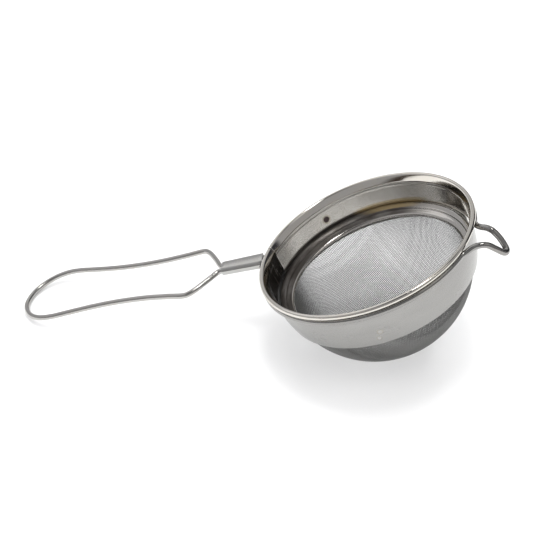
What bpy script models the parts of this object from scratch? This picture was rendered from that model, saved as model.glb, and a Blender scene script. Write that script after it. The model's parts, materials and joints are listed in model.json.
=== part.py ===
"""Tea strainer: a steel band with a curled lip, a wire that runs round under the lip and out into
a rest ear, a fine mesh bowl held by an inner ring, and a wire handle loop joined by a flat ferrule.

The strainer is drawn in its own bowl frame (bowl axis along +Z, lip at z = 0, handle along -X).
One empty then lays it down the way it rests on a table: on the mesh and on the tip of the handle.
"""

import math

import bmesh
import bpy
from mathutils import Matrix, Vector

MM = 0.001

# Lip and band
RIM_RADIUS = 37.0 * MM           # outermost radius of the curled lip
LIP_RADIUS = 0.85 * MM           # outer radius of the curl's round section
SHEET = 0.4 * MM                 # sheet thickness of band and ring
WALL_RADIUS = 34.8 * MM          # outer radius of the band under the lip
BAND_FOOT_RADIUS = 33.1 * MM     # outer radius of the band where the mesh comes out
BAND_DEPTH = 15.95 * MM          # lip centre down to the band's lower edge
WALL_TOP = -1.75 * MM            # where the flare under the lip meets the wall
BAND_TAPER = 2.85                # how late the wall starts to turn inward

# Mesh bowl
MESH_SPHERE_RADIUS = 32.5 * MM
MESH_SPHERE_Z = -9.3 * MM
MESH_TOP = -13.0 * MM
MESH_THICKNESS = 0.45 * MM

# Wires
WIRE_RADIUS = 1.0 * MM
HOOP_RADIUS = 36.0 * MM
HOOP_Z = -2.05 * MM
EAR_TURN = math.radians(-10.5)   # direction of the ear seen from above, from +X

# Handle and ferrule
LEG_SPACING = 1.2 * MM           # centre of each leg from the ferrule's own centre line
HANDLE_LEVEL = -0.74 * MM        # height of the handle's plane at the lip
HANDLE_RISE = 0.039              # rise of the handle's plane per length
HANDLE_TIP = 136.3 * MM          # centre of the wire at the loop's far end
FERRULE_INNER = Vector((-38.7, 1.7, -1.15)) * MM
FERRULE_OUTER = Vector((-52.6, 0.0, -0.13)) * MM
FERRULE_WALL = 0.45 * MM
FERRULE_CLEARANCE = 0.2 * MM
FERRULE_FLARE = 1.3              # the end at the bowl is this much wider
FERRULE_TONGUE = 1.2 * MM        # the top of that end reaches this much further in

ROUND_STEPS = 60                 # steps round the bowl
WIRE_SIDES = 8


# ---------------------------------------------------------------- small helpers
def clear_scene():
    for existing in list(bpy.data.objects):
        bpy.data.objects.remove(existing, do_unlink=True)


def make_material(name, colour, roughness):
    """A plain steel finish: Principled BSDF with full metallic."""
    material = bpy.data.materials.new(name)
    material.use_nodes = True
    shader = material.node_tree.nodes["Principled BSDF"]
    shader.inputs["Base Color"].default_value = (*colour, 1.0)
    shader.inputs["Roughness"].default_value = roughness
    shader.inputs["Metallic"].default_value = 1.0
    return material


def polished_band_steel():
    return make_material("polished_band_steel", (0.62, 0.61, 0.59), 0.12)


def ring_steel():
    return make_material("ring_steel", (0.60, 0.58, 0.55), 0.15)


def mesh_steel():
    return make_material("mesh_steel", (0.56, 0.56, 0.55), 0.35)


def rim_wire_steel():
    return make_material("rim_wire_steel", (0.58, 0.57, 0.55), 0.15)


def handle_wire_steel():
    return make_material("handle_wire_steel", (0.60, 0.59, 0.57), 0.18)


def ferrule_steel():
    return make_material("ferrule_steel", (0.61, 0.60, 0.58), 0.2)


def add_object(name, bm, material, crease_deg=40.0):
    """Turn a bmesh into an object with one material, facing outward and shaded smooth."""
    bmesh.ops.remove_doubles(bm, verts=bm.verts, dist=0.00001)
    bmesh.ops.recalc_face_normals(bm, faces=bm.faces)
    mesh = bpy.data.meshes.new(name)
    bm.to_mesh(mesh)
    bm.free()
    mesh.materials.append(material)
    mesh.shade_smooth()
    mesh.set_sharp_from_angle(angle=math.radians(crease_deg))
    item = bpy.data.objects.new(name, mesh)
    bpy.context.collection.objects.link(item)
    return item


def thicken(path, thickness):
    """Closed outline of a sheet that follows a path of (radius, height) points."""
    half = thickness / 2
    left, right = [], []
    for index, point in enumerate(path):
        before = path[max(index - 1, 0)]
        after = path[min(index + 1, len(path) - 1)]
        along = Vector((after[0] - before[0], after[1] - before[1])).normalized()
        across = Vector((-along.y, along.x)) * half
        left.append((point[0] + across.x, point[1] + across.y))
        right.append((point[0] - across.x, point[1] - across.y))
    return left + right[::-1]


def turn_profile(outline, closed=True):
    """Turn (radius, height) points about the bowl axis."""
    bm = bmesh.new()
    verts = [bm.verts.new((radius, 0.0, height)) for radius, height in outline]
    count = len(verts)
    edges = [bm.edges.new((verts[i], verts[(i + 1) % count]))
             for i in range(count if closed else count - 1)]
    bmesh.ops.spin(bm, geom=verts + edges, cent=(0, 0, 0), axis=(0, 0, 1), dvec=(0, 0, 0),
                   angle=math.tau, steps=ROUND_STEPS, use_merge=True, use_duplicate=False)
    return bm


def smooth_through(points, steps):
    """A smooth run of points through the given ones (Catmull-Rom)."""
    result = []
    for index in range(len(points) - 1):
        p0 = points[max(index - 1, 0)]
        p1, p2 = points[index], points[index + 1]
        p3 = points[min(index + 2, len(points) - 1)]
        for step in range(steps):
            t = step / steps
            result.append(0.5 * ((2 * p1) + (p2 - p0) * t + (2 * p0 - 5 * p1 + 4 * p2 - p3) * t ** 2
                                 + (3 * p1 - p0 - 3 * p2 + p3) * t ** 3))
    result.append(points[-1].copy())
    return result


def sweep_round(path, radius, sides=WIRE_SIDES):
    """A round wire along a path, closed by a flat cap at each end."""
    bm = bmesh.new()
    frame_up = Vector((0, 0, 1))
    rings = []
    for index, point in enumerate(path):
        before = path[max(index - 1, 0)]
        after = path[min(index + 1, len(path) - 1)]
        along = (after - before).normalized()
        side = along.cross(frame_up).normalized()
        frame_up = side.cross(along).normalized()
        ring = []
        for corner in range(sides):
            angle = math.tau * (corner + 0.5) / sides
            offset = side * math.cos(angle) + frame_up * math.sin(angle)
            ring.append(bm.verts.new(point + offset * radius))
        rings.append(ring)
    for first, second in zip(rings, rings[1:]):
        for corner in range(sides):
            following = (corner + 1) % sides
            bm.faces.new((first[corner], first[following], second[following], second[corner]))
    bm.faces.new(rings[0][::-1])
    bm.faces.new(rings[-1])
    return bm


# ---------------------------------------------------------------- bowl pieces
def band_radius(height):
    """Outer radius of the band's wall at a height under the lip."""
    run = max(0.0, (WALL_TOP - height) / (WALL_TOP + BAND_DEPTH))
    return WALL_RADIUS - (WALL_RADIUS - BAND_FOOT_RADIUS) * run ** BAND_TAPER


def make_band():
    """Sheet band: wall, flare, and the lip curled outward at the top."""
    half = SHEET / 2
    wall = [(band_radius(-BAND_DEPTH + (WALL_TOP + BAND_DEPTH) * k / 7) - half,
             -BAND_DEPTH + (WALL_TOP + BAND_DEPTH) * k / 7) for k in range(8)]
    curl = LIP_RADIUS - half
    centre = RIM_RADIUS - LIP_RADIUS
    lip = []
    for k in range(11):
        angle = math.radians(150 - 255 * k / 10)
        lip.append((centre + curl * math.cos(angle), curl * math.sin(angle)))
    return add_object("strainer_band", turn_profile(thicken(wall + lip, SHEET)),
                      polished_band_steel())


def make_ring():
    """Inner ring: a dished flange that holds the mesh against the band."""
    steps = [(33.5, -9.95), (33.2, -10.5), (32.75, -10.95), (32.25, -11.3), (31.9, -11.7),
             (31.4, -11.95), (30.6, -12.25), (30.05, -12.7), (29.9, -13.35)]
    path = [(radius * MM, height * MM) for radius, height in steps]
    return add_object("mesh_ring", turn_profile(thicken(path, SHEET)), ring_steel())


def make_mesh_bowl():
    """The woven bowl as one thin shell, open above."""
    inner = MESH_SPHERE_RADIUS - MESH_THICKNESS
    start = math.asin((MESH_TOP - MESH_SPHERE_Z) / MESH_SPHERE_RADIUS)
    count = 11
    angles = [start + (-math.pi / 2 - start) * k / count for k in range(count + 1)]

    def point(radius, angle):
        reach = 0.0 if abs(angle + math.pi / 2) < 1e-6 else radius * math.cos(angle)
        return (reach, MESH_SPHERE_Z + radius * math.sin(angle))

    outline = [point(MESH_SPHERE_RADIUS, angle) for angle in reversed(angles)]
    outline += [point(inner, angle) for angle in angles]
    return add_object("mesh_bowl", turn_profile(outline, closed=False), mesh_steel())


# ---------------------------------------------------------------- wires
def handle_height(x):
    return HANDLE_LEVEL + HANDLE_RISE * (-x - RIM_RADIUS)


def ferrule_axis(share):
    """Point on the ferrule's centre line: 0 at the bowl, 1 at the handle."""
    return FERRULE_INNER.lerp(FERRULE_OUTER, share)


def leg_spread(share):
    """Half distance between the two wires inside the ferrule."""
    return LEG_SPACING * (FERRULE_FLARE + (1 - FERRULE_FLARE) * share)


def ferrule_leg(share, side):
    axis = (FERRULE_OUTER - FERRULE_INNER).normalized()
    across = Vector((0, 0, 1)).cross(axis).normalized()
    if across.y < 0:
        across.negate()
    return ferrule_axis(share) + across * (leg_spread(share) * side)


def ear_points():
    """Half of the ear, from the hoop out to the tip: reach, half width, height."""
    stations = [(36.5, 6.4, -2.05), (38.3, 4.95, -1.6), (40.4, 4.15, -1.5), (42.3, 3.35, -2.3),
                (44.0, 2.55, -4.5), (45.4, 1.3, -7.1), (45.8, 0.0, -7.8)]
    return [Vector(values) * MM for values in stations]


def make_rim_wire():
    """One wire: in the ferrule, round under the lip, out into the ear, and back to the ferrule."""
    turn = Matrix.Rotation(EAR_TURN, 3, "Z")
    half_ear = [turn @ Vector((p.x, -p.y, p.z)) for p in ear_points()]
    other_half = [turn @ p.copy() for p in ear_points()]
    ear = smooth_through(half_ear + other_half[-2::-1], 4)

    leave = math.atan2(6.4, 36.5) + math.radians(3.0)
    gap_half = math.radians(6.5)
    start, stop = math.pi + gap_half, math.tau + EAR_TURN - leave
    steps = 22
    near = [Vector((HOOP_RADIUS * math.cos(start + (stop - start) * k / steps),
                    HOOP_RADIUS * math.sin(start + (stop - start) * k / steps), HOOP_Z))
            for k in range(steps + 1)]
    start, stop = EAR_TURN + leave, math.pi - gap_half
    steps = 26
    far = [Vector((HOOP_RADIUS * math.cos(start + (stop - start) * k / steps),
                   HOOP_RADIUS * math.sin(start + (stop - start) * k / steps), HOOP_Z))
           for k in range(steps + 1)]
    tail_in = smooth_through([ferrule_leg(0.42, -1), ferrule_leg(0.2, -1), ferrule_leg(0.0, -1),
                              Vector((-37.6, -0.5, -1.55)) * MM, near[0]], 3)
    tail_out = smooth_through([far[-1], Vector((-37.8, 3.9, -1.55)) * MM, ferrule_leg(0.0, 1),
                               ferrule_leg(0.2, 1), ferrule_leg(0.42, 1)], 3)
    path = tail_in[:-1] + near + ear + far + tail_out[1:]
    return add_object("rim_wire", sweep_round(path, WIRE_RADIUS), rim_wire_steel())


def make_handle():
    """The handle loop: two legs from the ferrule, a shoulder, a slight waist and a round end."""
    stations = [(54.3, 1.95), (56.8, 5.3), (60.1, 9.5), (62.6, 11.7), (65.0, 12.2), (71.0, 11.35),
                (79.5, 10.45), (88.0, 10.15), (96.5, 10.4), (105.0, 11.2), (113.0, 12.3),
                (119.0, 13.15), (123.5, 13.15), (127.5, 12.2), (131.0, 10.2), (134.0, 7.0),
                (135.8, 3.6), (136.3, 0.0)]
    half = [Vector((-x * MM, y * MM, handle_height(-x * MM))) for x, y in stations]
    inside = [ferrule_leg(0.52, 1), ferrule_leg(0.8, 1), ferrule_leg(1.0, 1)]
    mirrored = [Vector((p.x, -p.y, p.z)) for p in half[-2::-1]]
    other_inside = [ferrule_leg(1.0, -1), ferrule_leg(0.8, -1), ferrule_leg(0.52, -1)]
    path = smooth_through(inside + half + mirrored + other_inside, 3)
    return add_object("handle_wire", sweep_round(path, WIRE_RADIUS), handle_wire_steel())


def ferrule_ring(bm, share, grow):
    """One flat-sided, round-ended outline of the ferrule, larger by grow than the wires in it."""
    axis = (FERRULE_OUTER - FERRULE_INNER).normalized()
    across = Vector((0, 0, 1)).cross(axis).normalized()
    if across.y < 0:
        across.negate()
    up = axis.cross(across).normalized()
    if up.z < 0:
        up.negate()
    centre = ferrule_axis(share)
    tongue = axis * (-FERRULE_TONGUE if share == 0.0 else 0.0)
    radius = WIRE_RADIUS + grow
    corners = []
    for side, first in ((1, -90), (-1, 90)):
        for k in range(7):
            angle = math.radians(first + 180 * k / 6)
            corners.append(centre + across * (leg_spread(share) * side + radius * math.cos(angle))
                           + up * (radius * math.sin(angle)) + tongue * max(0.0, math.sin(angle)))
    return [bm.verts.new(corner) for corner in corners]


def make_ferrule():
    """Flattened sleeve, open at both ends, with the wires inside it."""
    bm = bmesh.new()
    shares = (0.0, 0.5, 1.0)
    outside = [ferrule_ring(bm, share, FERRULE_CLEARANCE + FERRULE_WALL) for share in shares]
    inside = [ferrule_ring(bm, share, FERRULE_CLEARANCE) for share in shares]
    loops = outside + inside[::-1]
    count = len(loops[0])
    for index, loop in enumerate(loops):
        following = loops[(index + 1) % len(loops)]
        for k in range(count):
            m = (k + 1) % count
            bm.faces.new((loop[k], loop[m], following[m], following[k]))
    return add_object("handle_ferrule", bm, ferrule_steel(), crease_deg=35.0)


# ---------------------------------------------------------------- laying it down
def resting_tilt():
    """Angle of the table under the mesh and the handle's tip, seen from the side."""
    tip_x = -HANDLE_TIP
    rise = handle_height(tip_x) - MESH_SPHERE_Z
    distance = math.hypot(tip_x, rise)
    return math.atan2(rise, -tip_x) + math.asin((MESH_SPHERE_RADIUS - WIRE_RADIUS) / distance)


def lay_down(pieces):
    """Parent every piece to one empty, turn it to the resting tilt and centre it on the table."""
    rest = bpy.data.objects.new("rest_frame", None)
    bpy.context.collection.objects.link(rest)
    turn = Matrix.Rotation(-resting_tilt(), 4, "Y")
    corners = [turn @ vertex.co for piece in pieces for vertex in piece.data.vertices]
    low = [min(corner[axis] for corner in corners) for axis in range(3)]
    high = [max(corner[axis] for corner in corners) for axis in range(3)]
    shift = Vector((-(low[0] + high[0]) / 2, -(low[1] + high[1]) / 2, -low[2]))
    for piece in pieces:
        piece.parent = rest
    rest.rotation_euler = (0.0, -resting_tilt(), 0.0)
    rest.location = shift
    bpy.context.view_layer.update()


def main():
    clear_scene()
    pieces = [make_band(), make_ring(), make_mesh_bowl(), make_rim_wire(), make_handle(),
              make_ferrule()]
    lay_down(pieces)


main()
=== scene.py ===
"""Looks of the tea strainer: turned sheet parts, woven wire cloth, bent wires and their finishes.

Every piece is drawn in the bowl's own frame (bowl axis along +Z, lip centre at height 0, handle along
-X, ear near +X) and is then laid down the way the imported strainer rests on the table.
All lengths are in metres.
"""

import json
import logging
import math
from collections.abc import Callable
from dataclasses import dataclass, field, replace
from enum import Enum
from typing import Protocol

import bpy
import numpy as np
from mathutils import Matrix, Vector

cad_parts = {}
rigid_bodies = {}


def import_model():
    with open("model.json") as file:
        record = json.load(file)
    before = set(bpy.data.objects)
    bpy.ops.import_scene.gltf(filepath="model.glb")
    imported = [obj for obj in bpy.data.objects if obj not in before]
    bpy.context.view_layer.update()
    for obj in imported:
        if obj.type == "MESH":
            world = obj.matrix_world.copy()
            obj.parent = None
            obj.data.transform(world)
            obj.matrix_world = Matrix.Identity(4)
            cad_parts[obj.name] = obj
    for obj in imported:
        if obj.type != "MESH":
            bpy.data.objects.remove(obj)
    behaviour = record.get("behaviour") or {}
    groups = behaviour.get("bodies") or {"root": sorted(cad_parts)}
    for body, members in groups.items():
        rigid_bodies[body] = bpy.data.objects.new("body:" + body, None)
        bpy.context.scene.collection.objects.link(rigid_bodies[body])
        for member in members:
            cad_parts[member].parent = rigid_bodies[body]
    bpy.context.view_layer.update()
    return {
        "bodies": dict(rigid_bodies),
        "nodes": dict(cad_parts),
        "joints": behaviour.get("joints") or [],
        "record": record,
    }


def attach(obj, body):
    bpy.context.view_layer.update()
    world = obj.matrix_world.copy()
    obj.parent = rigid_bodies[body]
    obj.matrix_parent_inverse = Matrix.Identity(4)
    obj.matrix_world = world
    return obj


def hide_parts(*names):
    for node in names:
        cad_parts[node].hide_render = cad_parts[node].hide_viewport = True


MM = 0.001
MERGE_DISTANCE = 0.000004
BEVEL_LIMIT = math.radians(50.0)
WIRE_ROUNDNESS = 6
POLISHED_ROUGHNESS = 0.07
log = logging.getLogger("tea_strainer")


# ------------------------------------------------------------------------------ workbench
class Bench:
    """Modelling moves that every piece uses, each made with Blender's own operators."""

    @staticmethod
    def clear_selection() -> None:
        """Leave edit mode and deselect every object."""
        if bpy.context.object and bpy.context.object.mode != "OBJECT":
            bpy.ops.object.mode_set(mode="OBJECT")
        bpy.ops.object.select_all(action="DESELECT")

    @staticmethod
    def pick(item: bpy.types.Object) -> None:
        """Make one object the only selected and the active one."""
        Bench.clear_selection()
        item.select_set(True)
        bpy.context.view_layer.objects.active = item

    @staticmethod
    def place_vertices(item: bpy.types.Object, places: np.ndarray) -> None:
        """Move all vertices of a mesh, in order, to the given places."""
        item.data.vertices.foreach_set("co", np.asarray(places, np.float32).ravel())
        item.data.update()

    @staticmethod
    def places(item: bpy.types.Object) -> np.ndarray:
        """Vertex places of a mesh as rows of x, y, z."""
        flat = np.empty(len(item.data.vertices) * 3, np.float32)
        item.data.vertices.foreach_get("co", flat)
        return flat.reshape(-1, 3).astype(float)

    @staticmethod
    def line(name: str, points: list, closed: bool = False) -> bpy.types.Object:
        """Draw a run of edges through points, from a circle opened at its last edge.

        Args:
            name: name of the new object.
            points: the places that the line passes, in order.
            closed: keep the edge from the last point back to the first.

        Returns:
            The new object.
        """
        Bench.clear_selection()
        bpy.ops.mesh.primitive_circle_add(vertices=len(points), radius=1.0)
        item = bpy.context.object
        item.name = name
        item.data.name = name
        Bench.place_vertices(item, np.array([tuple(point) for point in points]))
        if not closed:
            last = len(points) - 1
            for edge in item.data.edges:
                edge.select = set(edge.vertices) == {0, last}
            for vertex in item.data.vertices:
                vertex.select = vertex.index in (0, last)
            bpy.ops.object.mode_set(mode="EDIT")
            bpy.ops.mesh.select_mode(type="EDGE")
            bpy.ops.mesh.delete(type="EDGE")
            bpy.ops.object.mode_set(mode="OBJECT")
        return item

    @staticmethod
    def spin(item: bpy.types.Object, steps: int, angle: float) -> None:
        """Turn the item's edges about the bowl axis.

        Args:
            item: a line that lies in one plane with the bowl axis.
            steps: number of steps round.
            angle: angle of the whole turn; a full turn is closed.
        """
        Bench.pick(item)
        bpy.ops.object.mode_set(mode="EDIT")
        bpy.ops.mesh.select_all(action="SELECT")
        bpy.ops.mesh.spin(steps=steps, angle=angle, center=(0, 0, 0), axis=(0, 0, 1))
        bpy.ops.mesh.select_all(action="SELECT")
        bpy.ops.mesh.remove_doubles(threshold=MERGE_DISTANCE)
        bpy.ops.mesh.normals_make_consistent(inside=False)
        bpy.ops.object.mode_set(mode="OBJECT")

    @staticmethod
    def apply(item: bpy.types.Object, kind: str, **settings: object) -> None:
        """Add one modifier with its settings and apply it."""
        Bench.pick(item)
        modifier = item.modifiers.new(kind.title(), kind)
        for key, value in settings.items():
            setattr(modifier, key, value)
        bpy.ops.object.modifier_apply(modifier=modifier.name)

    @staticmethod
    def round_wire(name: str, path: list, radius: float) -> bpy.types.Object:
        """Bend a round wire with closed ends.

        Args:
            name: name of the new object.
            path: the wire's centre line.
            radius: radius of the wire.

        Returns:
            The wire as a mesh object.
        """
        item = Bench.line(name, path)
        Bench.pick(item)
        bpy.ops.object.convert(target="CURVE")
        item.data.bevel_depth = radius
        item.data.bevel_resolution = WIRE_ROUNDNESS
        item.data.use_fill_caps = True
        bpy.ops.object.convert(target="MESH")
        item = bpy.context.object
        Bench.smooth(item, 50.0)
        return item

    @staticmethod
    def tidy_normals(item: bpy.types.Object) -> None:
        """Point all faces outward."""
        Bench.pick(item)
        bpy.ops.object.mode_set(mode="EDIT")
        bpy.ops.mesh.select_all(action="SELECT")
        bpy.ops.mesh.normals_make_consistent(inside=False)
        bpy.ops.object.mode_set(mode="OBJECT")

    @staticmethod
    def smooth(item: bpy.types.Object, angle_deg: float) -> None:
        """Shade smooth, keeping edges sharper than an angle."""
        Bench.pick(item)
        bpy.ops.object.shade_smooth_by_angle(angle=math.radians(angle_deg))

    @staticmethod
    def thicken(item: bpy.types.Object, sheet: float, edge: float, segments: int = 2) -> None:
        """Make a surface into sheet metal with rounded edges.

        Args:
            item: the middle surface of the sheet.
            sheet: thickness of the sheet.
            edge: width of the rounding.
            segments: steps across the rounding.
        """
        Bench.apply(item, "SOLIDIFY", thickness=sheet, offset=0.0)
        Bench.apply(item, "BEVEL", width=edge, segments=segments, limit_method="ANGLE",
                    angle_limit=BEVEL_LIMIT)
        Bench.smooth(item, 40.0)


def smooth_run(points: list, steps: int) -> list:
    """Points of a smooth run through the given ones.

    Args:
        points: places that the run passes.
        steps: number of steps from each place to the next.

    Returns:
        The run's points, both ends included.
    """
    run = []
    for index in range(len(points) - 1):
        before = points[max(index - 1, 0)]
        first, second = points[index], points[index + 1]
        after = points[min(index + 2, len(points) - 1)]
        for step in range(steps):
            t = step / steps
            run.append(0.5 * (2 * first + (second - before) * t
                              + (2 * before - 5 * first + 4 * second - after) * t ** 2
                              + (3 * first - before - 3 * second + after) * t ** 3))
    run.append(points[-1].copy())
    return run


def ease(value: np.ndarray) -> np.ndarray:
    """A soft step from 0 to 1 of a value already between 0 and 1."""
    clipped = np.clip(value, 0.0, 1.0)
    return clipped * clipped * (3.0 - 2.0 * clipped)


def push_outward(places: np.ndarray, amount: np.ndarray) -> np.ndarray:
    """Move places in the bowl frame away from the bowl axis, each by its own amount."""
    outward = places * np.array([1.0, 1.0, 0.0])
    outward /= np.linalg.norm(outward, axis=1)[:, None]
    return places + outward * amount[:, None]


@dataclass(frozen=True)
class BowlFrame:
    """Where the bowl's own frame lies on the table."""

    matrix: Matrix

    @classmethod
    def measured(cls, band: bpy.types.Object, lip_radius: float) -> "BowlFrame":
        """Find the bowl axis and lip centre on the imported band.

        Args:
            band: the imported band, a body of revolution about the bowl axis.
            lip_radius: height of the lip's top above the lip centre.

        Returns:
            The frame, with +Z along the bowl axis and Y level.
        """
        points = Bench.places(band)
        centre = points.mean(axis=0)
        axis = Vector(np.linalg.eigh(np.cov((points - centre).T))[1][:, 0])
        if axis.z < 0:
            axis.negate()
        level = Vector((0.0, 1.0, 0.0))
        forward = level.cross(axis).normalized()
        top = max((points - centre) @ np.array(axis))
        origin = Vector(centre) + axis * (top - lip_radius)
        turn = Matrix((forward, level, axis)).transposed().to_4x4()
        return cls(Matrix.Translation(origin) @ turn)

    def settle(self, item: bpy.types.Object) -> None:
        """Lay a finished piece down in the bowl's place and leave its object at the origin."""
        Bench.pick(item)
        item.matrix_world = self.matrix @ item.matrix_world
        bpy.ops.object.transform_apply(location=True, rotation=True, scale=True)


# ------------------------------------------------------------------------------ finishes
def opaque(colour: tuple, factor: float = 1.0) -> tuple:
    """An opaque colour, brightened by a factor."""
    return (*(channel * factor for channel in colour), 1.0)


class Sockets(Enum):
    """Socket types of the shared shader node groups."""

    VALUE = "NodeSocketFloat"
    COLOUR = "NodeSocketColor"
    VECTOR = "NodeSocketVector"


class NodeSketch:
    """Short calls for laying out shader nodes in one node tree."""

    def __init__(self, tree: bpy.types.NodeTree) -> None:
        """Start on a node tree."""
        self.tree = tree
        self.count = 0

    def add(self, kind: str, **settings: object) -> bpy.types.Node:
        """Add one node and set its properties."""
        node = self.tree.nodes.new(kind)
        node.location = (-1400 + 200 * (self.count % 8), -260 * (self.count // 8))
        self.count += 1
        for key, value in settings.items():
            setattr(node, key, value)
        return node

    def feed(self, target: bpy.types.NodeSocket, source: object) -> None:
        """Link a socket, or set its value where the source is a number or a tuple."""
        if isinstance(source, bpy.types.NodeSocket):
            self.tree.links.new(source, target)
        else:
            target.default_value = source

    def use(self, group: bpy.types.NodeTree, **values: object) -> "bpy.types.NodeOutputs":
        """Add a shared group, feed its inputs by name, and return its outputs."""
        node = self.add("ShaderNodeGroup", node_tree=group)
        for title, value in values.items():
            self.feed(node.inputs[title.replace("_", " ").title()], value)
        return node.outputs

    def place(self) -> bpy.types.NodeSocket:
        """Place on the object."""
        return self.add("ShaderNodeTexCoord").outputs["Object"]

    def axes(self, place: object) -> list:
        """The x, y and z of a place."""
        node = self.add("ShaderNodeSeparateXYZ")
        self.feed(node.inputs[0], place)
        return list(node.outputs)

    def math(self, operation: str, *values: object) -> bpy.types.NodeSocket:
        """A Math node's result."""
        node = self.add("ShaderNodeMath", operation=operation)
        for socket, value in zip(node.inputs, values):
            self.feed(socket, value)
        return node.outputs[0]

    def product(self, first: object, *others: object) -> bpy.types.NodeSocket:
        """Product of several values."""
        for other in others:
            first = self.math("MULTIPLY", first, other)
        return first

    def vector(self, operation: str, first: object, second: object,
               result: str = "Vector") -> bpy.types.NodeSocket:
        """A Vector Math node's result, which is a Vector or a Value."""
        node = self.add("ShaderNodeVectorMath", operation=operation)
        self.feed(node.inputs[0], first)
        self.feed(node.inputs[1], second)
        return node.outputs[result]

    def dot(self, first: object, second: object) -> bpy.types.NodeSocket:
        """Dot product of two vectors."""
        return self.vector("DOT_PRODUCT", first, second, "Value")

    def reach(self, place: object) -> bpy.types.NodeSocket:
        """Distance of a place from the bowl axis."""
        flat = self.vector("MULTIPLY", place, (1.0, 1.0, 0.0))
        return self.vector("DISTANCE", flat, (0.0, 0.0, 0.0), "Value")

    def noise(self, place: object, scale: object, detail: float, roughness: float = 0.5,
              distortion: float = 0.0) -> bpy.types.NodeSocket:
        """Value of a 3D noise at a place; scale is one number, or one for each axis."""
        if isinstance(scale, tuple):
            place, scale = self.vector("MULTIPLY", place, scale), 1.0
        node = self.add("ShaderNodeTexNoise", noise_dimensions="3D")
        for title, source in (("Vector", place), ("Scale", scale), ("Detail", detail),
                              ("Roughness", roughness), ("Distortion", distortion)):
            self.feed(node.inputs[title], source)
        return node.outputs[0]

    def range(self, value: object, low: object, high: object, to_low: float = 0.0,
              to_high: float = 1.0, smooth: bool = True) -> bpy.types.NodeSocket:
        """Map a range of a value to another range."""
        node = self.add("ShaderNodeMapRange", clamp=True,
                        interpolation_type="SMOOTHSTEP" if smooth else "LINEAR")
        for title, source in (("Value", value), ("From Min", low), ("From Max", high),
                              ("To Min", to_low), ("To Max", to_high)):
            self.feed(node.inputs[title], source)
        return node.outputs[0]

    def mix(self, share: object, first: object, second: object) -> bpy.types.NodeSocket:
        """Mix two colours by a share."""
        node = self.add("ShaderNodeMix", data_type="RGBA")
        for index, source in ((0, share), (6, first), (7, second)):
            self.feed(node.inputs[index], source)
        return node.outputs[2]

    def bump(self, height: object, strength: float, depth: float) -> bpy.types.NodeSocket:
        """Normal of a surface raised by a height."""
        node = self.add("ShaderNodeBump")
        for title, source in (("Strength", strength), ("Distance", depth), ("Height", height)):
            self.feed(node.inputs[title], source)
        return node.outputs[0]


def start_material(name: str, metallic: float) -> tuple:
    """Make a material.

    Args:
        name: its name.
        metallic: 1 for metal, 0 for anything else.

    Returns:
        The material, a sketch on it, and its shader's inputs.
    """
    material = bpy.data.materials.new(name)
    material.use_nodes = True
    inputs = material.node_tree.nodes["Principled BSDF"].inputs
    inputs["Metallic"].default_value = metallic
    return material, NodeSketch(material.node_tree), inputs


def shared_group(name: str, inputs: dict, outputs: dict, draw: Callable) -> bpy.types.NodeTree:
    """Find a shared effect by name, or lay it out once.

    Args:
        name: name of the node group.
        inputs: kind of each input by title.
        outputs: kind of each output by title.
        draw: takes a sketch and the group's inputs, and returns the source of each output by title.

    Returns:
        The node group.
    """
    group = bpy.data.node_groups.get(name)
    if group:
        return group
    group = bpy.data.node_groups.new(name, "ShaderNodeTree")
    for side, kinds in (("INPUT", inputs), ("OUTPUT", outputs)):
        for title, kind in kinds.items():
            group.interface.new_socket(title, in_out=side, socket_type=kind.value)
    sketch = NodeSketch(group)
    given, result = sketch.add("NodeGroupInput"), sketch.add("NodeGroupOutput")
    for title, source in draw(sketch, given.outputs).items():
        sketch.feed(result.inputs[title], source)
    return group


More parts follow.
